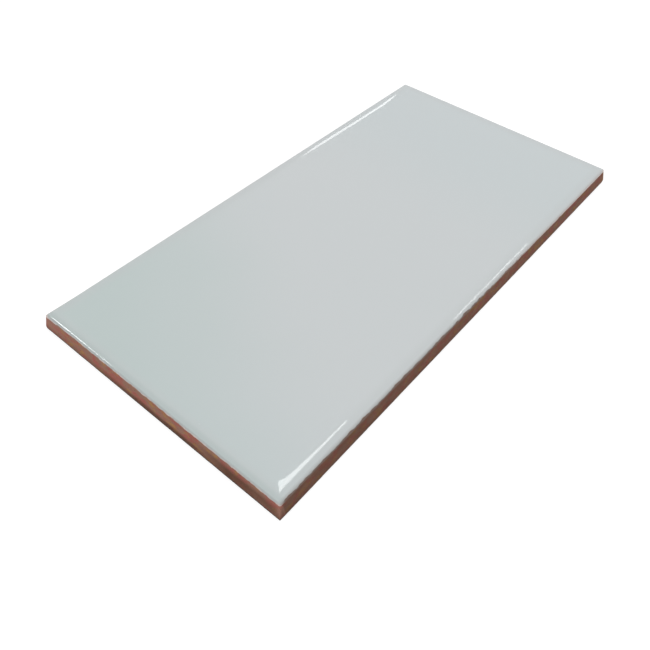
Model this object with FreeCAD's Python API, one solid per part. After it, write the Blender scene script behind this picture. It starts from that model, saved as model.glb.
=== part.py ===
import FreeCAD, Part
import math
import os

# A pressed and glazed wall tile lying on its back, in millimetres.
# The origin is at the middle of the back, +X runs along the length, +Z rises through the face.

# Outline
tile_length = 200.0
tile_width = 100.0
tile_thickness = 6.5          # floor to the flat middle of the glazed face

# Sides, from the back upwards
foot_bevel = 0.2              # small bevel where a side meets the back
side_band_height = 1.4        # upright part of a side, up to the line of the press die
side_draft_angle = 12.0       # degrees that the side leans in above the die line
foot_corner_radius = 0.2      # upright corners of the band, seen from above
glaze_skirt = 0.4             # straight part of the glaze below its rounded edge

# Glazed face
edge_radius = 0.6             # rounded edge of the glaze
rim_corner_radius = 0.05      # seen from above, where the rounded edge runs out on the face
rim_coat = 0.2                # thickness of the glaze round the edge
face_crown = 0.2              # rise of the face from its rim to its flat middle
crown_width = 7.0             # width of that rise
flat_corner_radius = 6.0      # corners of the flat middle, seen from above
crown_steps = 5               # sections that shape the rise

# Keying relief of the back
relief_depth = 0.6
relief_border = 5.0           # unbroken land round the back
relief_cell = 10.0            # about how wide one recess is
relief_rib = 2.0              # land between two recesses
relief_corner_clip = 1.5      # clipped corners of a recess
relief_wall_angle = 35.0      # degrees that the walls of a recess lean

draft = math.radians(side_draft_angle)
right_angle = math.radians(90.0)

# The rise of the face is an arc that is level at its inner end and leans this much at the rim.
rim_lean = 2.0 * math.atan(face_crown / crown_width)
crown_radius = crown_width / math.sin(rim_lean)

# Section of the rounded edge. Insets are measured inwards from the outline of the tile.
rim_height = tile_thickness - face_crown
edge_centre_height = rim_height - edge_radius * math.cos(rim_lean)
edge_start_height = edge_centre_height + edge_radius * math.sin(draft)
edge_start_inset = (edge_start_height - side_band_height) * math.tan(draft)
edge_centre_inset = edge_start_inset + edge_radius * math.cos(draft)
rim_inset = edge_centre_inset - edge_radius * math.sin(rim_lean)
glaze_line_height = edge_start_height - glaze_skirt
glaze_line_inset = (glaze_line_height - side_band_height) * math.tan(draft)
clay_top_height = edge_centre_height + edge_radius - rim_coat

# Inner face of the glaze, where it wraps the shoulder of the clay
shoulder_radius = edge_radius - rim_coat
shoulder_start_height = edge_centre_height + shoulder_radius * math.sin(draft)
shoulder_start_inset = edge_centre_inset - shoulder_radius * math.cos(draft)
ledge_inset = glaze_line_inset + rim_coat / math.cos(draft)

# Rounded edges turn about upright axes at the corners, this far in from both sides. The leaning
# sides open out from the tight corner of the band to the corner that this gives the glaze, and
# the clay under the glaze has that radius less the coat.
corner_radius = edge_centre_inset - edge_start_inset + rim_corner_radius
shoulder_corner_radius = edge_centre_inset - shoulder_start_inset + rim_corner_radius
axis_inset = edge_centre_inset + rim_corner_radius
axis_x = tile_length / 2.0 - axis_inset
axis_y = tile_width / 2.0 - axis_inset
leaning_share = (glaze_line_height - side_band_height) / (edge_start_height - side_band_height)
glaze_line_radius = foot_corner_radius + (corner_radius - foot_corner_radius) * leaning_share


def section_point(inset, height):
    """A point of the rounded edge's section, drawn outwards from a corner axis."""
    return FreeCAD.Vector(axis_inset - inset, 0.0, height)


def line(start, end):
    return Part.LineSegment(start, end).toShape()


def rounding_section(radius, last_angle, base_height):
    """An arc about the centre of the rounded edge, closed down to a base and in to the corner axis."""
    def on_arc(angle):
        inset = edge_centre_inset - radius * math.cos(angle)
        return section_point(inset, edge_centre_height + radius * math.sin(angle))

    start = on_arc(draft)
    end = on_arc(last_angle)
    arc = Part.Arc(start, on_arc((draft + last_angle) / 2.0), end).toShape()
    axis_top = section_point(axis_inset, end.z)
    axis_base = section_point(axis_inset, base_height)
    closing = [line(end, axis_top), line(axis_top, axis_base), line(axis_base, start)]
    return Part.Face(Part.Wire([arc] + closing))


def turned_slab(section, bottom_height, top_height):
    """Runs a section along the four sides and turns it about the four corner axes."""
    core = Part.makeBox(
        2.0 * axis_x,
        2.0 * axis_y,
        top_height - bottom_height,
        FreeCAD.Vector(-axis_x, -axis_y, bottom_height),
    )
    pieces = []
    for side in range(4):
        outward, along = (axis_x, axis_y) if side % 2 == 0 else (axis_y, axis_x)
        turn = FreeCAD.Rotation(FreeCAD.Vector(0, 0, 1), 90.0 * side)
        run_start = turn.multVec(FreeCAD.Vector(outward, -along, 0))
        run = turn.multVec(FreeCAD.Vector(0, 2.0 * along, 0))
        here = section.copy()
        here.Placement = FreeCAD.Placement(run_start, turn)
        pieces.append(here.extrude(run))
        here = section.copy()
        here.Placement = FreeCAD.Placement(run_start + run, turn)
        pieces.append(here.revolve(run_start + run, FreeCAD.Vector(0, 0, 1), 90.0))
    return core.multiFuse(pieces).removeSplitter()


def rounded_rectangle(length, width, radius, height):
    """A level outline, centred on the origin."""
    half_x = length / 2.0
    half_y = width / 2.0
    edges = []
    for corner in range(4):
        odd = corner % 2 == 1
        turn = FreeCAD.Rotation(FreeCAD.Vector(0, 0, 1), 90.0 * corner)
        reach, span = (half_y, half_x) if odd else (half_x, half_y)

        def place(x, y):
            return turn.multVec(FreeCAD.Vector(x, y, 0)) + FreeCAD.Vector(0, 0, height)

        side_start = place(reach, radius - span)
        side_end = place(reach, span - radius)
        bend = radius * (1.0 - math.cos(right_angle / 2.0))
        corner_middle = place(reach - bend, span - bend)
        corner_end = place(reach - radius, span)
        edges.append(line(side_start, side_end))
        edges.append(Part.Arc(side_end, corner_middle, corner_end).toShape())
    return Part.Wire(edges)


def outline(inset, radius, height):
    """The outline of the tile at a height, moved in from the foot of its sides."""
    return rounded_rectangle(tile_length - 2.0 * inset, tile_width - 2.0 * inset, radius, height)


def pressed_slab():
    """The clay slab as it leaves the press: foot, upright band, leaning side, ledge and shoulder."""
    side = Part.makeLoft(
        [
            outline(foot_bevel, foot_corner_radius, 0.0),
            outline(0.0, foot_corner_radius, foot_bevel),
            outline(0.0, foot_corner_radius, side_band_height),
            outline(glaze_line_inset, glaze_line_radius, glaze_line_height),
        ],
        True,
        True,
    )
    neck = Part.makeLoft(
        [
            outline(ledge_inset, shoulder_corner_radius, glaze_line_height),
            outline(shoulder_start_inset, shoulder_corner_radius, shoulder_start_height),
        ],
        True,
        True,
    )
    shoulder = turned_slab(
        rounding_section(shoulder_radius, right_angle, shoulder_start_height),
        shoulder_start_height,
        clay_top_height,
    )
    return side.multiFuse([neck, shoulder]).removeSplitter()


def coat_and_core():
    """The glaze with the clay inside it, from the glaze line up."""
    skirt = Part.makeLoft(
        [
            outline(glaze_line_inset, glaze_line_radius, glaze_line_height),
            outline(edge_start_inset, corner_radius, edge_start_height),
        ],
        True,
        True,
    )
    rounding = turned_slab(
        rounding_section(edge_radius, right_angle - rim_lean, edge_start_height),
        edge_start_height,
        rim_height,
    )
    return skirt.multiFuse([rounding, crown()]).removeSplitter()


def crown():
    """The shallow rise from the rim of the face to its flat middle."""
    run_out_radius = axis_inset - rim_inset
    sections = []
    for step in range(crown_steps + 1):
        share = step / crown_steps
        lean = rim_lean * (1.0 - share)
        inset = rim_inset + crown_width - crown_radius * math.sin(lean)
        height = tile_thickness - crown_radius * (1.0 - math.cos(lean))
        radius = run_out_radius + (flat_corner_radius - run_out_radius) * share
        sections.append(outline(inset, radius, height))
    return Part.makeLoft(sections, True, True)


def clipped_rectangle(length, width, clip, height):
    """The corners of a level rectangle whose own corners are clipped at 45 degrees, in order."""
    half_x = length / 2.0
    half_y = width / 2.0
    corners = []
    for side_x, side_y in ((1, 1), (-1, 1), (-1, -1), (1, -1)):
        on_short_side = FreeCAD.Vector(side_x * half_x, side_y * (half_y - clip), height)
        on_long_side = FreeCAD.Vector(side_x * (half_x - clip), side_y * half_y, height)
        corners += [on_short_side, on_long_side] if side_x == side_y else [on_long_side, on_short_side]
    return corners


def flat_face(corners):
    return Part.Face(Part.makePolygon(corners + corners[:1]))


def relief_recess(length, width):
    """One shallow recess with leaning walls and clipped corners, open downwards at the back."""
    run = relief_depth * math.tan(math.radians(relief_wall_angle))
    floor_clip = relief_corner_clip - run * (2.0 - math.sqrt(2.0))
    mouth = clipped_rectangle(length, width, relief_corner_clip, 0.0)
    floor = clipped_rectangle(length - 2.0 * run, width - 2.0 * run, floor_clip, relief_depth)
    faces = [flat_face(mouth), flat_face(floor)]
    for index in range(len(mouth)):
        faces.append(flat_face([mouth[index - 1], mouth[index], floor[index], floor[index - 1]]))
    return Part.makeSolid(Part.makeShell(faces))


def even_rows(size):
    """Splits the back inside its border into an even number of cells with ribs between them."""
    inside = size - 2.0 * relief_border
    count = 2 * max(1, round((inside + relief_rib) / (relief_cell + relief_rib) / 2.0))
    cell = (inside + relief_rib) / count - relief_rib
    centres = [(index - (count - 1) / 2.0) * (cell + relief_rib) for index in range(count)]
    return cell, centres


def relief_recesses():
    """Recesses in even rows, so that two ribs cross at the middle of the back."""
    cell_x, columns = even_rows(tile_length)
    cell_y, rows = even_rows(tile_width)
    recess = relief_recess(cell_x, cell_y)
    recesses = []
    for x in columns:
        for y in rows:
            copy = recess.copy()
            copy.translate(FreeCAD.Vector(x, y, 0.0))
            recesses.append(copy)
    return Part.makeCompound(recesses)


slab = pressed_slab()
clay_body = slab.cut(relief_recesses())
glaze = coat_and_core().cut(slab)

os.makedirs("parts", exist_ok=True)
for name, shape in {"clay_body": clay_body, "glaze": glaze}.items():
    solid = shape.Solids[0]
    solid.exportStep("parts/" + name + ".step")
    box = solid.BoundBox
    print(name, "solids", len(shape.Solids), "faces", len(solid.Faces), "valid", solid.isValid())
    print(name, "volume", round(solid.Volume, 2), "size", box.XLength, box.YLength, box.ZMin, box.ZMax)
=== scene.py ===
import math

import bmesh
import bpy
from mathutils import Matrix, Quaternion, Vector


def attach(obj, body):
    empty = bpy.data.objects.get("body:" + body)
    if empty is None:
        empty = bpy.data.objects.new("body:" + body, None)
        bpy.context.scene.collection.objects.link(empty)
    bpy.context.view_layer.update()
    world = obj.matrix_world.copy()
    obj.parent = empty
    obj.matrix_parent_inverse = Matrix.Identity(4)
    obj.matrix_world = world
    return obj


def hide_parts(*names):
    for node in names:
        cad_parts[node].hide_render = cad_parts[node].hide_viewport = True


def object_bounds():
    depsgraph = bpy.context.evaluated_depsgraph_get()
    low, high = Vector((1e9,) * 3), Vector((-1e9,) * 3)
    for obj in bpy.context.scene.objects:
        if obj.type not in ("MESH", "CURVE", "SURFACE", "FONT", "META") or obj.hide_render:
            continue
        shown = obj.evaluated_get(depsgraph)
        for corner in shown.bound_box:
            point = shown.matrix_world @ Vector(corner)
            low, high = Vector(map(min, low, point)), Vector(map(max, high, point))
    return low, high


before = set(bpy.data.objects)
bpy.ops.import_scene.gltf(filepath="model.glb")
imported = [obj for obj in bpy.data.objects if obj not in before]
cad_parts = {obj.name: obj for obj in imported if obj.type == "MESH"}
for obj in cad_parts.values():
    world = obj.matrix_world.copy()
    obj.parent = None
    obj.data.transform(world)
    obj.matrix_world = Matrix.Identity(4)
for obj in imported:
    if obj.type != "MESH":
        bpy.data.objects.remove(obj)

cadLow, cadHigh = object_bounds()
mm = 0.001
hair = 1e-7                                      # a length that counts as nothing
rightAngle = math.radians(90.0)


# Nodes written as sums. A Wire is one socket, and a Desk is the tree that it is in.

class Wire:
    def __init__(self, desk, socket):
        self.desk = desk
        self.socket = socket

    def __add__(self, other):
        return self.desk.maths("ADD", self, other)

    def __radd__(self, other):
        return self.desk.maths("ADD", other, self)

    def __sub__(self, other):
        return self.desk.maths("SUBTRACT", self, other)

    def __rsub__(self, other):
        return self.desk.maths("SUBTRACT", other, self)

    def __mul__(self, other):
        return self.desk.maths("MULTIPLY", self, other)

    def __rmul__(self, other):
        return self.desk.maths("MULTIPLY", other, self)

    def __truediv__(self, other):
        return self.desk.maths("DIVIDE", self, other)

    def __rtruediv__(self, other):
        return self.desk.maths("DIVIDE", other, self)

    def __pow__(self, other):
        return self.desk.maths("POWER", self, other)

    def __neg__(self):
        return self.desk.maths("MULTIPLY", self, -1.0)

    def __abs__(self):
        return self.desk.maths("ABSOLUTE", self)

    def over(self, other):                       # 1 where it is more, 0 elsewhere
        return self.desk.maths("GREATER_THAN", self, other)

    def atLeast(self, other):
        return self.desk.maths("MAXIMUM", self, other)

    def atMost(self, other):
        return self.desk.maths("MINIMUM", self, other)

    def share(self, start, end):                 # 0 at start, 1 at end, held outside
        sockets = {"Value": self, "From Min": start, "From Max": end}
        return self.desk.node("ShaderNodeMapRange", {"clamp": True}, sockets)

    def swell(self, start, end):                 # the same with soft ends
        sockets = {"Value": self, "From Min": start, "From Max": end}
        return self.desk.node("ShaderNodeMapRange", {"interpolation_type": "SMOOTHSTEP"}, sockets)


class Desk:
    def __init__(self, tree):
        self.tree = tree
        tree.nodes.clear()

    def node(self, kind, settings=None, sockets=None, output=0):
        made = self.tree.nodes.new(kind)
        for name, value in (settings or {}).items():
            setattr(made, name, value)
        for name, value in (sockets or {}).items():
            if isinstance(value, Wire):
                self.tree.links.new(value.socket, made.inputs[name])
            else:
                made.inputs[name].default_value = value
        return Wire(self, made.outputs[output] if made.outputs else None)

    def maths(self, operation, *values):
        return self.node("ShaderNodeMath", {"operation": operation}, dict(enumerate(values)))

    def axes(self, vector):
        parts = self.node("ShaderNodeSeparateXYZ", sockets={"Vector": vector}).socket.node.outputs
        return [Wire(self, part) for part in parts]

    def point(self, x, y, z):
        return self.node("ShaderNodeCombineXYZ", sockets={"X": x, "Y": y, "Z": z})

    def grain(self, place, size, detail=3.0, roughness=0.55):               # size in metres
        sockets = {"Vector": place, "Scale": 1.0 / size, "Detail": detail, "Roughness": roughness}
        return self.node("ShaderNodeTexNoise", sockets=sockets)

    def specks(self, place, spacing, radii):     # round specks, radii as shares of the spacing
        sockets = {"Vector": place, "Scale": 1.0 / spacing}
        return 1.0 - self.node("ShaderNodeTexVoronoi", sockets=sockets).share(*radii)

    def blend(self, share, first, second):       # two colours mixed, 0 gives the first
        factor, colourA, colourB = 0, 6, 7       # inputs of a Mix node that mixes colours
        sockets = {factor: share, colourA: rgba(first), colourB: rgba(second)}
        return self.node("ShaderNodeMix", {"data_type": "RGBA"}, sockets, output=2)


def rgba(colour):
    return colour if isinstance(colour, Wire) else (*colour, 1.0)


def metres(reach):
    return [value * mm for value in reach]


def startMaterial(name):
    material = bpy.data.materials.new(name)
    material.use_nodes = True
    return material, Desk(material.node_tree)


def finishMaterial(desk, colour, roughness, refraction, bump):
    shader = desk.node("ShaderNodeBsdfPrincipled", sockets={
        "Base Color": colour, "Roughness": roughness, "IOR": refraction, "Normal": bump})
    desk.node("ShaderNodeOutputMaterial", sockets={"Surface": shader})


# Section of the tile, in millimetres and degrees. It is the CAD tile's, but for the last four lines.

section = {
    "sideLean": 12.0,        # the sides lean in above the band
    "bandHeight": 1.4,       # upright part of the sides
    "footBevel": 0.2,
    "footCorner": 0.2,       # corners of the upright part, seen from above
    "edgeRadius": 0.6,       # rounded edge of the glaze
    "rimCoat": 0.2,          # glaze thickness round the edge
    "rimCorner": 0.05,       # corners of the rim, seen from above
    "skirt": 0.4,            # straight part of the glaze below its rounded edge
    "crownRise": 0.2,        # from the rim to the flat middle
    "crownWidth": 7.0,
    "flatCorner": 1.0,       # corners of the flat middle, seen from above
    "cornerSwell": 0.35,     # how much fuller the left rear corner is
    "swellReach": (1.0, 14.0),                   # in from its sides, full and gone
    "swellFade": 0.9,        # how much of it is lost again up to the rim
}

halfLength = cadHigh.x
halfWidth = cadHigh.y
faceHeight = cadHigh.z
sideLean = math.radians(section["sideLean"])
rimLean = 2.0 * math.atan(section["crownRise"] / section["crownWidth"])
edgeRadius = section["edgeRadius"] * mm
shoulderRadius = edgeRadius - section["rimCoat"] * mm
crownRise = section["crownRise"] * mm
crownWidth = section["crownWidth"] * mm
bandHeight = section["bandHeight"] * mm
footBevel = section["footBevel"] * mm
footCorner = section["footCorner"] * mm
rimHeight = faceHeight - crownRise
centreHeight = rimHeight - edgeRadius * math.cos(rimLean)                  # centre of the rounded edge
startHeight = centreHeight + edgeRadius * math.sin(sideLean)               # where it starts
startInset = (startHeight - bandHeight) * math.tan(sideLean)
centreInset = startInset + edgeRadius * math.cos(sideLean)
rimInset = centreInset - edgeRadius * math.sin(rimLean)
lineHeight = startHeight - section["skirt"] * mm                           # lower line of the glaze
lineInset = (lineHeight - bandHeight) * math.tan(sideLean)
ledgeInset = lineInset + section["rimCoat"] * mm / math.cos(sideLean)
shoulderHeight = centreHeight + shoulderRadius * math.sin(sideLean)
shoulderInset = centreInset - shoulderRadius * math.cos(sideLean)
cornerAxis = centreInset + section["rimCorner"] * mm
cornerRadius = cornerAxis - startInset
sharpAngle = math.radians(38.0)                  # edges that bend more than this stay sharp


# Each piece is a grid whose outer rings fold down over the edge of the tile. A point's ring is its
# distance from the border of the grid, in lines. Ring 0 is on the hidden shoulder under the glaze.
# Pairs hold what is meant along X first, then along Y.

hiddenRings = {"shoulder": 4, "ledge": 5, "line": 6}


def gridLines(desk, counts):
    # each point's distance from the ends of its lines, and on which side of the middle it is
    index = desk.node("GeometryNodeInputIndex")
    column = desk.maths("FLOOR", (index + 0.5) / counts[1])
    numbers = [column, index - column * counts[1]]
    fromEnds = [number.atMost(count - 1 - number) for number, count in zip(numbers, counts)]
    sides = [desk.maths("SIGN", number - (count - 1) / 2) for number, count in zip(numbers, counts)]
    return fromEnds, sides


def hiddenShoulder(desk, ring):
    turn = rightAngle - ring.share(0, hiddenRings["shoulder"]) * (rightAngle - sideLean)
    neck = ring.share(hiddenRings["shoulder"], hiddenRings["ledge"])
    ledge = ring.share(hiddenRings["ledge"], hiddenRings["line"])
    inset = centreInset - desk.maths("COSINE", turn) * shoulderRadius
    inset = inset + neck * (ledgeInset - shoulderInset) + ledge * (lineInset - ledgeInset)
    height = centreHeight + desk.maths("SINE", turn) * shoulderRadius
    height = height + neck * (lineHeight - shoulderHeight)
    return inset, height


def ringCorner(inset, height):
    # the corners open out from the band to the rounded edge
    opening = height.share(bandHeight, startHeight)
    return (cornerAxis - inset).atMost(footCorner + opening * (cornerRadius - footCorner))


def roundedPlace(desk, along, reach, radius):
    # along: how far out the point is, reach: half sizes of its ring, radius: of the ring's corners
    centres = [r - radius for r in reach]
    arms = [(a - c).atLeast(0.0) for a, c in zip(along, centres)]
    armLength = desk.maths("SQRT", arms[0] * arms[0] + arms[1] * arms[1]).atLeast(hair)
    return [a.atMost(c) + arm * radius / armLength for a, c, arm in zip(along, centres, arms)]


def swollenCorner(plan, sides, height):
    # the left rear corner is fullest where its rounded edge starts
    full, gone = metres(section["swellReach"])
    close = [along.swell(half - gone, half - full) for along, half in zip(plan, (halfLength, halfWidth))]
    corner = close[0] * close[1] * (-sides[0]).atLeast(0.0) * sides[1].atLeast(0.0)
    fading = height.share(startHeight, rimHeight) * section["swellFade"]
    push = corner * (height.share(bandHeight, startHeight) - fading) * section["cornerSwell"] * mm
    return [(along + push) * side for along, side in zip(plan, sides)]


def makeTree(name, sizes):
    tree = bpy.data.node_groups.new(name, "GeometryNodeTree")
    desk = Desk(tree)
    tree.interface.new_socket(name="Geometry", in_out="OUTPUT", socket_type="NodeSocketGeometry")
    for label, value in sizes.items():
        kind = "NodeSocketInt" if isinstance(value, int) else "NodeSocketFloat"
        tree.interface.new_socket(name=label, in_out="INPUT", socket_type=kind)
    entry = tree.nodes.new("NodeGroupInput")
    return desk, {label: Wire(desk, entry.outputs[label]) for label in sizes}


def bentGrid(desk, counts, place):
    grid = desk.node("GeometryNodeMeshGrid", sockets={"Vertices X": counts[0], "Vertices Y": counts[1]})
    return desk.node("GeometryNodeSetPosition", sockets={"Geometry": grid, "Position": place})


def closeTree(desk, geometry, material):
    geometry = desk.node("GeometryNodeSetShadeSmooth", sockets={"Geometry": geometry})
    geometry = desk.node("GeometryNodeRealizeInstances", sockets={"Geometry": geometry})
    geometry = desk.node("GeometryNodeSetMaterial", sockets={"Geometry": geometry, "Material": material})
    desk.tree.links.new(geometry.socket, desk.tree.nodes.new("NodeGroupOutput").inputs[0])


def growPiece(name, desk, sizes, material):
    source = bpy.data.objects.new(name + "Source", bpy.data.meshes.new(name + "Source"))
    bpy.context.scene.collection.objects.link(source)
    modifier = source.modifiers.new("Shape", "NODES")
    modifier.node_group = desk.tree
    for item in desk.tree.interface.items_tree:
        if item.in_out == "INPUT":
            modifier[item.identifier] = sizes[item.name]
    evaluated = source.evaluated_get(bpy.context.evaluated_depsgraph_get())
    mesh = bpy.data.meshes.new_from_object(evaluated)
    source.modifiers.remove(modifier)
    bpy.data.objects.remove(source)
    closeOpening(mesh)
    mesh.name = name
    mesh.materials.clear()
    mesh.materials.append(material)
    piece = bpy.data.objects.new(name, mesh)
    bpy.context.scene.collection.objects.link(piece)
    return piece


def closeOpening(mesh):
    # the opening on the hidden shoulder gets one flat face, and all faces are turned outwards
    work = bmesh.new()
    work.from_mesh(mesh)
    openEdges = [edge for edge in work.edges if edge.is_boundary]
    lid = bmesh.ops.holes_fill(work, edges=openEdges, sides=0)["faces"]
    bmesh.ops.recalc_face_normals(work, faces=work.faces)
    for face in lid:
        face.smooth = False
    work.to_mesh(mesh)
    work.free()
    mesh.set_sharp_from_angle(angle=sharpAngle)


# Glaze. Sizes are in millimetres. A reach is where something starts and where it is full: near the
# sides it counts from them and is below 0 inside the tile, and otherwise it is on the X axis.

glaze = {
    "edgeRings": 9,          # lines round the rounded edge
    "crownRings": 22,        # lines across the rise of the face
    "crowding": 1.35,        # over 1, these lie closer near the rim
    "mitreRings": 8,         # lines in which the corners of the rise turn sharp
    "middleLinesX": 60,      # lines from the rise to the middle, along the length
    "middleLinesY": 31,      # the same across the width
    "ripple": 0.004,         # how deep the face ripples
    "rippleSize": 16.0,
    "skin": 0.002,           # finer unevenness, in the bump
    "skinSize": 3.0,
    "skinStrength": 0.25,
    "refraction": 1.5,
    "roughness": 0.02,
    "smear": 0.015,          # roughness that comes and goes
    "smearSize": 22.0,
    "thinRoughness": 0.2,    # added where the coat is thin
    "bareRoughness": 0.4,

    "tone": (0.562, 0.617, 0.622),
    # painted reflection: lighter and pinker about the middle, where the face mirrors the brighter sky
    "brightReflectionTone": (0.587, 0.624, 0.627),
    "brightReflectionPlace": -20.0,
    "brightReflectionReach": (35.0, 95.0),                 # from that place
    "dimReflectionTone": (0.506, 0.587, 0.572),           # painted darker, cooler reflection, towards the left rear corner
    "dimReflectionSlant": 0.7,
    "dimReflectionReach": (0.2, 1.28),                    # in half lengths
    "cloud": 0.5,            # how uneven that is
    "cloudSize": 55.0,

    "rimTone": (0.532, 0.567, 0.565),
    "rimReach": (-6.0, -2.2),
    "rimShare": 0.5,
    "leftRimTone": (0.443, 0.510, 0.501),
    "leftRimReach": (-3.6, -1.9),
    "leftRimShare": 0.65,

    "edgeTone": (0.380, 0.375, 0.365),           # thinner on the rounded edge
    "warmEdgeTone": (0.540, 0.430, 0.395),       # the same on the right half of the front edge
    "warmReach": (-5.0, 45.0),
    "edgeReach": (-1.45, -1.05),
    "edgeShare": 0.6,
    "frontReach": (-2.15, -0.95),                # the front edge is darker further in
    "frontShare": 0.85,
    "frontEdgeDarkReach": (-30.0, 60.0),                  # that gets less over this
    "frontEdgeDarkFall": 0.6,

    "thinTone": (0.640, 0.520, 0.480),           # where the coat runs out over the clay
    "thinReach": (-0.1, 0.5),                    # above the lower line
    "thinWobble": 1.7,
    "thinWobbleSize": 3.2,
    "cornerReach": (-3.0, -0.9),                 # the coat is thinner at the corners
    "cornerLift": 0.6,

    "bareTone": (0.300, 0.158, 0.114),           # clay below the ragged end of the coat
    "shadedBareTone": (0.160, 0.096, 0.072),          # the same with painted shade, on the left half of the front edge
    "frontLeftReach": (0.0, 55.0),                   # where that ends
    "frontLeftLift": 0.74,       # how much higher the coat ends there
    "bareReach": (-0.05, 0.07),                  # above the ragged end
    "raggedness": 1.6,
    "raggedSize": 2.6,
    "raggedMiddle": 0.47,    # less leaves more of the clay bare
    "leftReach": (-1.6, -1.0),
    "leftLift": 0.09,        # how much higher it ends on the left side

    "pinholeTone": (0.70, 0.74, 0.73),
    "pinholeShare": 0.35,
    "pinholeSpacing": 9.0,
    "pinholeRadii": (0.014, 0.026),
}


def faceColour(desk, place, x, y):
    # the glaze's own tone, with painted reflection: lighter about the middle, darker and cooler towards the
    # left rear corner
    cloud = (desk.grain(place, glaze["cloudSize"] * mm, 2.0) - 0.5) * glaze["cloud"]
    paintedDimReflection = ((y * glaze["dimReflectionSlant"] - x) / halfLength + cloud).swell(*glaze["dimReflectionReach"])
    middle = 1.0 - abs(x - glaze["brightReflectionPlace"] * mm).swell(*metres(glaze["brightReflectionReach"]))
    return desk.blend(paintedDimReflection, desk.blend(middle, glaze["tone"], glaze["brightReflectionTone"]), glaze["dimReflectionTone"])


def makeGlazeMaterial():
    material, desk = startMaterial("greyGreenGlaze")
    place = desk.node("ShaderNodeTexCoord", output="Object")
    x, y, z = desk.axes(place)
    nearX = abs(x) - halfLength
    nearY = abs(y) - halfWidth
    nearLeft = -x - halfLength
    nearSide = nearX.atLeast(nearY)
    front = (-y - halfWidth).share(*metres(glaze["frontReach"]))
    corner = nearX.share(*metres(glaze["cornerReach"])) * nearY.share(*metres(glaze["cornerReach"]))

    colour = faceColour(desk, place, x, y)
    rim = nearSide.swell(*metres(glaze["rimReach"]))
    colour = desk.blend(rim * glaze["rimShare"], colour, glaze["rimTone"])
    leftRim = nearLeft.swell(*metres(glaze["leftRimReach"]))
    colour = desk.blend(leftRim * glaze["leftRimShare"], colour, glaze["leftRimTone"])

    edge = nearSide.share(*metres(glaze["edgeReach"])) * glaze["edgeShare"]
    frontEdgeDarkening = 1.0 - x.share(*metres(glaze["frontEdgeDarkReach"])) * glaze["frontEdgeDarkFall"]
    warm = x.share(*metres(glaze["warmReach"])) * front
    edgeTone = desk.blend(warm, glaze["edgeTone"], glaze["warmEdgeTone"])
    colour = desk.blend(edge.atLeast(front * frontEdgeDarkening * glaze["frontShare"]), colour, edgeTone)

    aboveLine = z - lineHeight
    wobble = (desk.grain(place, glaze["thinWobbleSize"] * mm) - 0.5) * glaze["thinWobble"] * mm
    thin = aboveLine - wobble - corner * glaze["cornerLift"] * mm
    thin = 1.0 - thin.share(*metres(glaze["thinReach"]))
    colour = desk.blend(thin, colour, glaze["thinTone"])

    frontLeftHalf = front * (1.0 - x.share(*metres(glaze["frontLeftReach"])))
    ragged = desk.grain(place, glaze["raggedSize"] * mm) - glaze["raggedMiddle"]
    ragged = ragged * glaze["raggedness"] * mm + frontLeftHalf * glaze["frontLeftLift"] * mm
    ragged = ragged + nearLeft.share(*metres(glaze["leftReach"])) * glaze["leftLift"] * mm
    bare = (1.0 - (aboveLine - ragged).share(*metres(glaze["bareReach"]))) * (1.0 - corner)
    # bare clay, with painted shade on the left half of the front edge
    colour = desk.blend(bare, colour, desk.blend(frontLeftHalf, glaze["bareTone"], glaze["shadedBareTone"]))

    pinholes = desk.specks(place, glaze["pinholeSpacing"] * mm, glaze["pinholeRadii"])
    colour = desk.blend(pinholes * glaze["pinholeShare"], colour, glaze["pinholeTone"])

    roughness = glaze["roughness"] + desk.grain(place, glaze["smearSize"] * mm) * glaze["smear"]
    roughness = roughness + thin * glaze["thinRoughness"] + bare * glaze["bareRoughness"]
    skin = desk.grain(place, glaze["skinSize"] * mm, 2.0, 0.4)
    bump = desk.node("ShaderNodeBump", sockets={
        "Strength": glaze["skinStrength"], "Distance": glaze["skin"] * mm, "Height": skin})
    finishMaterial(desk, colour, roughness, glaze["refraction"], bump)
    return material


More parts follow.
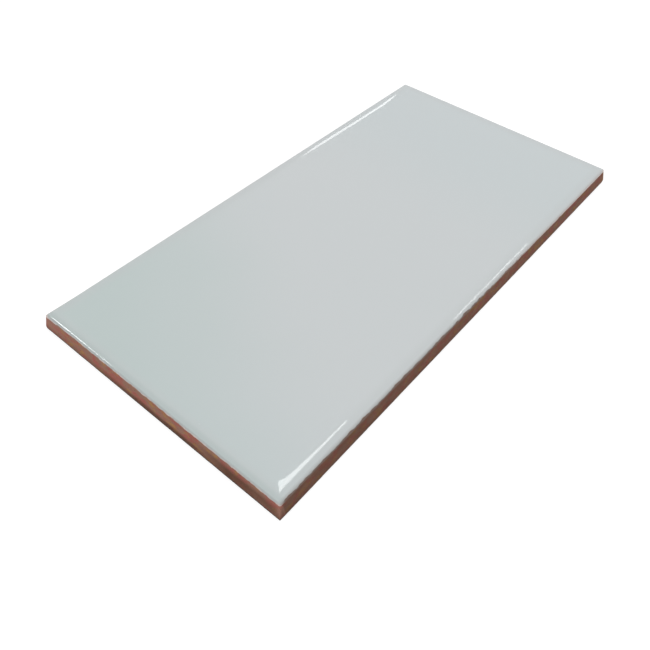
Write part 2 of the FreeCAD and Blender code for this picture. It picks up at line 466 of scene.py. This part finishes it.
def makeGlaze():
    material = makeGlazeMaterial()
    edgeStart = hiddenRings["line"] + 1
    edgeEnd = edgeStart + glaze["edgeRings"]
    crownEnd = edgeEnd + glaze["crownRings"]
    sizes = {
        "Columns": 2 * (crownEnd + glaze["middleLinesX"]) + 1,
        "Rows": 2 * (crownEnd + glaze["middleLinesY"]) + 1,
        "Half Length": halfLength,
        "Half Width": halfWidth,
        "Edge Radius": edgeRadius,
        "Crown Rise": crownRise,
        "Crown Width": crownWidth,
        "Flat Corner": section["flatCorner"] * mm,
        "Ripple": glaze["ripple"] * mm,
        "Ripple Size": glaze["rippleSize"] * mm,
    }
    desk, size = makeTree("glazeCoat", sizes)
    counts = [size["Columns"], size["Rows"]]
    fromEnds, sides = gridLines(desk, counts)
    ring = fromEnds[0].atMost(fromEnds[1])

    inset, height = hiddenShoulder(desk, ring)
    skirt = ring.share(hiddenRings["line"], edgeStart)
    turn = sideLean + ring.share(edgeStart, edgeEnd) * (rightAngle - rimLean - sideLean)
    rounding = math.cos(sideLean) - desk.maths("COSINE", turn)
    rising = desk.maths("SINE", turn) - math.sin(sideLean)
    inset = inset + skirt * (startInset - lineInset) + rounding * size["Edge Radius"]
    height = height + skirt * (startHeight - lineHeight) + rising * size["Edge Radius"]

    def crown(line):                             # 0 at the rim, 1 where the flat middle starts
        return line.share(edgeEnd, crownEnd) ** glaze["crowding"]

    height = height + (1.0 - (1.0 - crown(ring)) ** 2.0) * size["Crown Rise"]
    radius = ringCorner(inset, height)
    radius = radius + crown(ring) * (size["Flat Corner"] - (cornerAxis - rimInset))
    radius = radius * (1.0 - ring.share(crownEnd, crownEnd + glaze["mitreRings"]))

    def pastRim(line, half, last):               # how far inside the rim a line is
        middle = line.share(crownEnd, last) * (half - (rimInset + size["Crown Width"]))
        return crown(line) * size["Crown Width"] + middle

    reach = []
    along = []
    for fromEnd, count, half in zip(fromEnds, counts, (size["Half Length"], size["Half Width"])):
        last = (count - 1) / 2
        ringReach = half - (inset + pastRim(ring, half, last))
        ringAt = ring.share(0, edgeEnd) * rimInset + pastRim(ring, half, last)
        lineAt = fromEnd.share(0, edgeEnd) * rimInset + pastRim(fromEnd, half, last)
        reach.append(ringReach)
        along.append(ringReach + ringAt - lineAt)
    plan = swollenCorner(roundedPlace(desk, along, reach, radius), sides, height)
    ripples = desk.grain(desk.point(*plan, 0.0), size["Ripple Size"], 1.0, 0.5)
    height = height - ripples * size["Ripple"] * ring.share(edgeEnd - 2, edgeEnd + 4)

    closeTree(desk, bentGrid(desk, counts, desk.point(*plan, height)), material)
    piece = growPiece("glazeCoat", desk, sizes, material)
    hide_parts("glaze")
    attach(piece, "root")
    print("glaze made,", len(piece.data.polygons), "faces")


# Clay body. Sizes are in millimetres. Reaches are as above, and a span is the same in shares of a
# side's length, from its rear or left end.

clay = {
    "leanRings": 10,         # lines down the leaning part of the sides
    "bandRings": 6,
    "bevelRings": 2,
    "landRings": 3,
    "cornerLines": 1.25,     # how far round a corner the lines of the sides spread, in its radius
    "border": 5.0,           # unbroken land round the back
    "cell": 10.0,            # about how wide one recess is
    "rib": 2.0,
    "depth": 0.6,
    "wallLean": 35.0,        # degrees
    "wallLines": ((0.0, 0.0), (0.10, 0.06), (0.88, 0.93), (1.3, 1.0)),      # shares of its run and depth
    "floorLines": (1.05, 1.7),                   # in from the edge of a recess
    "recessCorner": 1.5,
    "pitting": 0.05,         # how deep the clay is pitted
    "pittingSize": 1.6,
    "pittingOnset": (0.35, 0.85),
    "grit": 0.10,            # finer relief, in the bump
    "gritSize": 0.5,
    "gritStrength": 0.6,
    "refraction": 1.4,
    "roughness": 0.78,
    "dustRoughness": 0.15,

    "tone": (0.318, 0.166, 0.119),
    "drawnOut": 0.5,         # the press draws marks out along the sides
    "redTone": (0.375, 0.120, 0.096),
    "redSize": 1.8,
    "redOnset": (0.46, 0.60),
    "ochreTone": (0.390, 0.205, 0.080),
    "ochreSize": 1.7,
    "ochreOnset": (0.54, 0.66),
    "blotchShare": 0.95,

    "darkTone": (0.109, 0.048, 0.028),           # the left side is darker low down; the front side has painted shade
    "sideReach": (-2.2, -1.4),
    "wobble": 2.2,           # how uneven the heights below are
    "wobbleSize": 3.0,
    "lowHeight": (1.6, 2.8),                     # the left side is dark below this
    "lowWobble": 0.6,
    "lowShare": 0.35,
    "lowMore": 0.8,          # added from its first third on
    "lowMoreSpan": (0.2, 0.45),
    "lowLess": 0.35,         # taken off in its last third
    "lowLessSpan": (0.62, 0.72),
    "highHeight": (3.4, 5.0),                    # there it is dark higher up too
    "highWobble": 0.4,
    "highSpan": (0.64, 0.8),
    "mottle": 0.6,
    "mottleLeast": 0.55,
    "mottleSize": 2.4,
    "mottleLess": 0.2,
    "mottleLessSpan": (0.86, 0.95),
    "frontShare": 0.62,      # how dark the painted shade on the front side is at its left end
    "frontShadeFall": 0.28,
    "frontMottle": 0.5,
    "frontMottleSize": 2.8,
    "frontFoot": 0.12,
    "frontFootHeight": (1.2, 2.6),

    "cornerTone": (0.400, 0.200, 0.150),         # worn paler on the corners
    "cornerShare": 0.9,
    "cornerReach": (-2.4, -0.3),
    "cornerHeight": (0.8, 3.5),
    "rearReach": (-12.0, -2.0),                  # wider at the rear ends of the short sides
    "rearShare": 0.7,
    # painted shade along the foot of the sides; the same dark tone colours the specks
    "footShadeAndSpeckTone": (0.034, 0.022, 0.018),
    "footHeight": (0.5, 1.1),
    "footWobble": 0.2,
    "footShare": 0.5,
    "leftFoot": 0.35,        # added on the left side
    "leftFootSpan": (0.0, 0.03),

    "dustSize": 0.35,
    "dustOnset": (0.3, 0.7),
    "dustShare": 0.25,
    "speckSpacing": 2.2,
    "speckRadii": (0.05, 0.11),
    "speckShare": 0.5,
    "speckDepth": 0.4,       # of the grit's
}


# the left side is darker low down, and higher up towards its front end
def leftDark(desk, level, along, z, wobble):
    share = clay["lowShare"] + along.share(*clay["lowMoreSpan"]) * clay["lowMore"]
    share = share - along.share(*clay["lowLessSpan"]) * clay["lowLess"]
    low = (1.0 - (z + wobble * clay["lowWobble"]).share(*metres(clay["lowHeight"]))) * share
    high = 1.0 - (z + wobble * clay["highWobble"]).share(*metres(clay["highHeight"]))
    high = high * along.share(*clay["highSpan"])
    mottle = clay["mottleLeast"] + desk.grain(level, clay["mottleSize"] * mm) * clay["mottle"]
    mottle = mottle - along.share(*clay["mottleLessSpan"]) * clay["mottleLess"]
    return low.atLeast(high) * mottle


# painted shade on the front side: most at its left end and near its foot, mottled
def frontPaintedShade(desk, level, along, z):
    mottle = (desk.grain(level, clay["frontMottleSize"] * mm) - 0.5) * clay["frontMottle"]
    foot = 1.0 - z.share(*metres(clay["frontFootHeight"]))
    return clay["frontShare"] - along * clay["frontShadeFall"] + mottle + foot * clay["frontFoot"]


def makeClayMaterial():
    material, desk = startMaterial("redClay")
    place = desk.node("ShaderNodeTexCoord", output="Object")
    x, y, z = desk.axes(place)
    level = desk.point(x * clay["drawnOut"], y * clay["drawnOut"], z)
    turned = desk.point(y * clay["drawnOut"], x * clay["drawnOut"], z)
    left = (-x - halfLength).share(*metres(clay["sideReach"]))
    front = (-y - halfWidth).share(*metres(clay["sideReach"])) * (1.0 - left)
    alongLeft = (-y).share(-halfWidth, halfWidth)
    alongFront = x.share(-halfLength, halfLength)
    wobble = (desk.grain(level, clay["wobbleSize"] * mm) - 0.5) * clay["wobble"] * mm

    red = desk.grain(level, clay["redSize"] * mm, 2.0).swell(*clay["redOnset"])
    ochre = desk.grain(turned, clay["ochreSize"] * mm, 2.0).swell(*clay["ochreOnset"])
    colour = desk.blend(red * clay["blotchShare"], clay["tone"], clay["redTone"])
    colour = desk.blend(ochre * clay["blotchShare"], colour, clay["ochreTone"])
    darkLeft = leftDark(desk, level, alongLeft, z, wobble) * left
    paintedFrontShade = frontPaintedShade(desk, level, alongFront, z) * front
    # darker low on the left side, and painted shade on the front side
    colour = desk.blend(darkLeft.atLeast(paintedFrontShade), colour, clay["darkTone"])

    nearX = (abs(x) - halfLength).share(*metres(clay["cornerReach"]))
    nearY = (abs(y) - halfWidth).share(*metres(clay["cornerReach"]))
    rear = (y - halfWidth).share(*metres(clay["rearReach"])) * clay["rearShare"]
    corner = nearY.atLeast(rear) * nearX * z.share(*metres(clay["cornerHeight"]))
    colour = desk.blend(corner * clay["cornerShare"], colour, clay["cornerTone"])
    # painted shade along the foot, more on the left side
    foot = 1.0 - (z + wobble * clay["footWobble"]).share(*metres(clay["footHeight"]))
    footShare = clay["footShare"] + left * alongLeft.share(*clay["leftFootSpan"]) * clay["leftFoot"]
    colour = desk.blend(foot * footShare, colour, clay["footShadeAndSpeckTone"])

    dust = desk.grain(place, clay["dustSize"] * mm, 3.0, 0.7).share(*clay["dustOnset"])
    colour = desk.blend(dust * clay["dustShare"], colour, clay["darkTone"])
    specks = desk.specks(place, clay["speckSpacing"] * mm, clay["speckRadii"])
    colour = desk.blend(specks * clay["speckShare"], colour, clay["footShadeAndSpeckTone"])

    relief = desk.grain(place, clay["gritSize"] * mm, 4.0, 0.65) - specks * clay["speckDepth"]
    bump = desk.node("ShaderNodeBump", sockets={
        "Strength": clay["gritStrength"], "Distance": clay["grit"] * mm, "Height": relief})
    roughness = clay["roughness"] + dust * clay["dustRoughness"]
    finishMaterial(desk, colour, roughness, clay["refraction"], bump)
    return material


def evenRows(size):
    inside = size - 2.0 * clay["border"]
    count = 2 * max(1, round((inside + clay["rib"]) / (clay["cell"] + clay["rib"]) / 2.0))
    return count, ((inside + clay["rib"]) / count - clay["rib"]) * mm


def makeClay():
    material = makeClayMaterial()
    leanEnd = hiddenRings["line"] + clay["leanRings"]
    bandEnd = leanEnd + clay["bandRings"]
    bevelEnd = bandEnd + clay["bevelRings"]
    landEnd = bevelEnd + clay["landRings"]
    wallRun = clay["depth"] * math.tan(math.radians(clay["wallLean"]))
    offsets = [share * wallRun * mm for share, rise in clay["wallLines"]] + metres(clay["floorLines"])
    rises = [rise for share, rise in clay["wallLines"]] + [1.0 for line in clay["floorLines"]]
    period = 2 * len(offsets)                    # lines across one recess
    countX, cellX = evenRows(2.0 * halfLength / mm)
    countY, cellY = evenRows(2.0 * halfWidth / mm)
    sizes = {
        "Columns": 2 * landEnd + countX * period,
        "Rows": 2 * landEnd + countY * period,
        "Half Length": halfLength,
        "Half Width": halfWidth,
        "Border": clay["border"] * mm,
        "Recess Length": cellX,
        "Recess Width": cellY,
        "Rib": clay["rib"] * mm,
        "Depth": clay["depth"] * mm,
        "Recess Corner": clay["recessCorner"] * mm,
        "Pitting": clay["pitting"] * mm,
        "Pitting Size": clay["pittingSize"] * mm,
    }
    desk, size = makeTree("claySlab", sizes)
    counts = [size["Columns"], size["Rows"]]
    cells = [size["Recess Length"], size["Recess Width"]]
    fromEnds, sides = gridLines(desk, counts)
    ring = fromEnds[0].atMost(fromEnds[1])

    # the sides, down to the land of the back
    inset, height = hiddenShoulder(desk, ring)
    leaning = ring.share(hiddenRings["line"], leanEnd)
    upright = ring.share(leanEnd, bandEnd)
    bevel = ring.share(bandEnd, bevelEnd)
    land = ring.share(bevelEnd, landEnd)
    inset = inset - leaning * lineInset + bevel * footBevel + land * (size["Border"] - footBevel)
    height = height + leaning * (bandHeight - lineHeight) + upright * (footBevel - bandHeight)
    height = height - bevel * footBevel
    radius = ringCorner(inset, height).atLeast(0.0) * (1.0 - land)

    # the recesses: each is a set of rings of its own, with round corners
    def across(line, stops):                     # what lies at a line, from the stops at lines 0, 1, 2 ...
        total = 0.0
        for number in range(1, len(stops)):
            total = line.share(number - 1, number) * (stops[number] - stops[number - 1]) + total
        return total

    def recessLine(line):                        # which recess, its near or far side, lines from its wall
        number = (line - landEnd).atLeast(0.0)
        recess = desk.maths("FLOOR", (number + 0.5) / period)
        local = number - recess * period
        return recess, local.over(period / 2 - 0.5), local.atMost(period - 1 - local)

    recesses, farSides, fromWalls = zip(*[recessLine(line) for line in fromEnds])
    inside = ring.over(landEnd - 0.5)
    recessRing = fromWalls[0].atMost(fromWalls[1])
    corner = size["Recess Corner"]
    fromEdges = [across(line, offsets) for line in fromWalls]
    arms = [(corner - offset + across(recessRing, offsets)).atLeast(0.0) for offset in fromEdges]
    armLength = desk.maths("SQRT", arms[0] * arms[0] + arms[1] * arms[1]).atLeast(hair)
    inCorner = arms[0].over(hair) * arms[1].over(hair) * inside
    height = height + inside * across(recessRing, rises) * size["Depth"]

    def sideLine(line):                          # lines of the sides, spread round the corners
        spread = cornerRadius * clay["cornerLines"]
        return line.share(0, bevelEnd) * spread + line.share(bevelEnd, landEnd) * (size["Border"] - spread)

    reach = [size["Half Length"] - inset, size["Half Width"] - inset]
    along = []
    for axis in range(2):
        shift = inCorner * (arms[axis] - arms[axis] * corner / armLength)
        far = farSides[axis]
        inRecess = far * cells[axis] + (1.0 - far * 2.0) * (fromEdges[axis] + shift)
        start = recesses[axis] * (cells[axis] + size["Rib"])
        line = fromEnds[axis]
        back = sideLine(line) + line.over(landEnd - 0.5) * (start + inRecess)
        along.append(reach[axis] + sideLine(ring) - back)
    plan = swollenCorner(roundedPlace(desk, along, reach, radius), sides, height)
    shaped = bentGrid(desk, counts, desk.point(*plan, height))
    shaped = desk.node("GeometryNodeFlipFaces", sockets={"Mesh": shaped})

    pits = desk.grain(desk.node("GeometryNodeInputPosition"), size["Pitting Size"], 2.0, 0.5)
    outward = desk.node("GeometryNodeInputNormal")
    depth = pits.share(*clay["pittingOnset"]) * -size["Pitting"]
    push = desk.node("ShaderNodeVectorMath", {"operation": "SCALE"}, {0: outward, "Scale": depth})
    shaped = desk.node("GeometryNodeSetPosition", sockets={"Geometry": shaped, "Offset": push})
    closeTree(desk, shaped, material)
    piece = growPiece("claySlab", desk, sizes, material)
    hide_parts("clay_body")
    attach(piece, "root")
    print("clay made,", len(piece.data.polygons), "faces")


# Floor, sky, lamps and camera

def direction(azimuth, elevation):
    around, up = math.radians(azimuth), math.radians(elevation)
    return Vector((math.cos(around) * math.cos(up), math.sin(around) * math.cos(up), math.sin(up)))


studio = {
    "floorSize": 6.0,        # metres
    "floorDrop": 0.02,       # below the back of the tile, mm
    "floorTone": 0.32,       # what the floor gives back to the object
    "floorGlow": 0.80,       # added where the camera or a reflection sees it
    "skyTone": (0.36, 0.37, 0.37),
    "glowTone": (1.05, 1.00, 1.02),
    "glowSide": (35.0, 32.0),                    # azimuth and elevation of the brighter sky
    "glowReach": (0.50, 0.96),                   # cosines of the angle to that side
    "lamps": {               # metres and watts
        "topLamp": {
            "place": (0.06, -0.06, 0.5), "aim": (0.06, -0.06, 0.0), "size": (0.12, 0.12), "power": 0.12,
        },
        "leftLamp": {
            "place": direction(176, 32) * 8.0, "aim": (0.0, 0.0, 0.0), "size": (3.2, 2.7), "power": 330.0,
        },
        "frontLamp": {
            "place": direction(-78, 26) * 6.0, "aim": (0.0, 0.0, 0.0), "size": (2.6, 2.0), "power": 88.0,
        },
    },
    "panes": {               # windows that the glaze mirrors, corners in mm along their two axes
        "farPane": {
            "centre": (892.0, 664.5, 600.4),
            "along": (0.714, -0.525, -0.463),
            "across": (0.021, 0.677, -0.735),
            "corners": [(-116, 9), (-82, 6), (-48, 3), (18, 1), (83, -2), (99, 4), (114, 17), (114, 24),
                        (98, 21), (82, 16), (50, 17), (-16, 21), (-49, 24), (-82, 25), (-99, 20),
                        (-116, 14)],
            "glow": 4.8,
        },
        "nearPane": {
            "centre": (423.1, 233.0, 1058.0),
            "along": (0.898, -0.237, -0.370),
            "across": (-0.121, -0.943, 0.309),
            "corners": [(-122, -64), (-84, -42), (-76, -30), (-62, -22), (-38, -18), (33, -18), (56, -21),
                        (80, -24), (98, -26), (100, -16), (81, -13), (58, -10), (35, -5), (12, 0), (-12, 5),
                        (-35, 9), (-70, 14), (-90, 20), (-146, -14)],
            "glow": 7.6,
        },
        "nearEdgePane": {
            "centre": (863.8, 143.4, 828.7),
            "along": (0.703, -0.161, -0.693),
            "across": (0.0, 0.974, -0.227),
            "corners": [(-104, -0.5), (104, 0), (104, 3.2), (-104, 3)],
            "glow": 9.0,
        },
    },
    "leftPane": [(82, 47.0), (82, 55.0), (93, 53.8), (106, 50.8), (106, 46.8), (94, 47.6)],
    "leftPaneDistance": 1.2,                     # metres, with the corners above as azimuth and elevation
    "leftPaneGlow": 20.0,
}

photoView = {
    "place": (-162.33, -102.49, 166.73),         # mm
    "aim": (-49.15, -12.29, 6.5),
    "roll": 2.775,           # degrees
    "lens": 38.022,          # on a sensor of 36 mm
    "shift": (0.04146, -0.00081),
}


def addFlat(name, points, material):
    mesh = bpy.data.meshes.new(name)
    mesh.from_pydata(points, [], [tuple(range(len(points)))])
    mesh.materials.append(material)
    flat = bpy.data.objects.new(name, mesh)
    bpy.context.scene.collection.objects.link(flat)
    return flat


def makeFloor():
    material, desk = startMaterial("paleFloor")
    rays = [desk.node("ShaderNodeLightPath", output=kind)
            for kind in ("Is Camera Ray", "Is Glossy Ray", "Is Transmission Ray")]
    seen = (rays[0] + rays[1] + rays[2]).atMost(1.0)
    plain = desk.node("ShaderNodeBsdfDiffuse", sockets={"Color": rgba([studio["floorTone"]] * 3)})
    glow = desk.node("ShaderNodeEmission", sockets={
        "Color": rgba((1.0, 1.0, 1.0)), "Strength": seen * studio["floorGlow"]})
    both = desk.node("ShaderNodeAddShader", sockets={0: plain, 1: glow})
    desk.node("ShaderNodeOutputMaterial", sockets={"Surface": both})
    half = studio["floorSize"] / 2
    corners = [(-half, -half, 0), (half, -half, 0), (half, half, 0), (-half, half, 0)]
    floor = addFlat("floor", corners, material)
    floor.location.z = -studio["floorDrop"] * mm
    print("floor made")


def makeSky():
    world = bpy.data.worlds.new("studio")
    bpy.context.scene.world = world
    world.use_nodes = True
    desk = Desk(world.node_tree)
    seen = desk.node("ShaderNodeLightPath", output="Is Camera Ray")
    x, y, z = desk.axes(desk.node("ShaderNodeTexCoord", output="Generated"))
    bright = direction(*studio["glowSide"])
    nearness = x * bright.x + y * bright.y + z * bright.z
    sky = desk.blend(nearness.swell(*studio["glowReach"]), studio["skyTone"], studio["glowTone"])
    colour = desk.blend(seen, sky, (1.0, 1.0, 1.0))
    light = desk.node("ShaderNodeBackground", sockets={"Color": colour})
    desk.node("ShaderNodeOutputWorld", sockets={"Surface": light})
    print("sky made")


def addLamp(name, place, aim, size, power):
    lamp = bpy.data.lights.new(name, "AREA")
    lamp.shape = "RECTANGLE"
    lamp.size, lamp.size_y = size
    lamp.energy = power
    holder = bpy.data.objects.new(name, lamp)
    holder.location = place
    holder.rotation_mode = "QUATERNION"
    holder.rotation_quaternion = (Vector(aim) - Vector(place)).to_track_quat("-Z", "Y")
    holder.visible_glossy = False
    bpy.context.scene.collection.objects.link(holder)


def addWindow(name, points, glow, lightsRoom=True):
    material, desk = startMaterial(name)
    light = desk.node("ShaderNodeEmission", sockets={"Color": rgba((1.0, 1.0, 1.0)), "Strength": glow})
    desk.node("ShaderNodeOutputMaterial", sockets={"Surface": light})
    window = addFlat(name, points, material)
    window.visible_camera = False
    window.visible_diffuse = lightsRoom


def makeLamps():
    for name, lamp in studio["lamps"].items():
        addLamp(name, **lamp)
    for name, pane in studio["panes"].items():
        along, across = Vector(pane["along"]).normalized(), Vector(pane["across"]).normalized()
        points = [(Vector(pane["centre"]) + along * a + across * b) * mm for a, b in pane["corners"]]
        addWindow(name, points, pane["glow"])
    points = [direction(*corner) * studio["leftPaneDistance"] for corner in studio["leftPane"]]
    addWindow("leftPane", points, studio["leftPaneGlow"], lightsRoom=False)
    print("lamps made,", len(studio["lamps"]), "lamps and", len(studio["panes"]) + 1, "windows")


def makeCamera():
    view = bpy.data.cameras.new("photoCamera")
    view.sensor_width = 36.0
    view.lens = photoView["lens"]
    view.shift_x, view.shift_y = photoView["shift"]
    view.clip_start = 0.01
    view.clip_end = 50.0
    camera = bpy.data.objects.new("photoCamera", view)
    place = Vector(photoView["place"]) * mm
    aim = Vector(photoView["aim"]) * mm
    roll = Quaternion((0, 0, 1), math.radians(photoView["roll"]))
    camera.location = place
    camera.rotation_mode = "QUATERNION"
    camera.rotation_quaternion = (aim - place).to_track_quat("-Z", "Y") @ roll
    bpy.context.scene.collection.objects.link(camera)
    bpy.context.scene.camera = camera
    print("camera made")


makeGlaze()
makeClay()
makeFloor()
makeSky()
makeLamps()
makeCamera()
bpy.context.scene.view_settings.view_transform = "Standard"
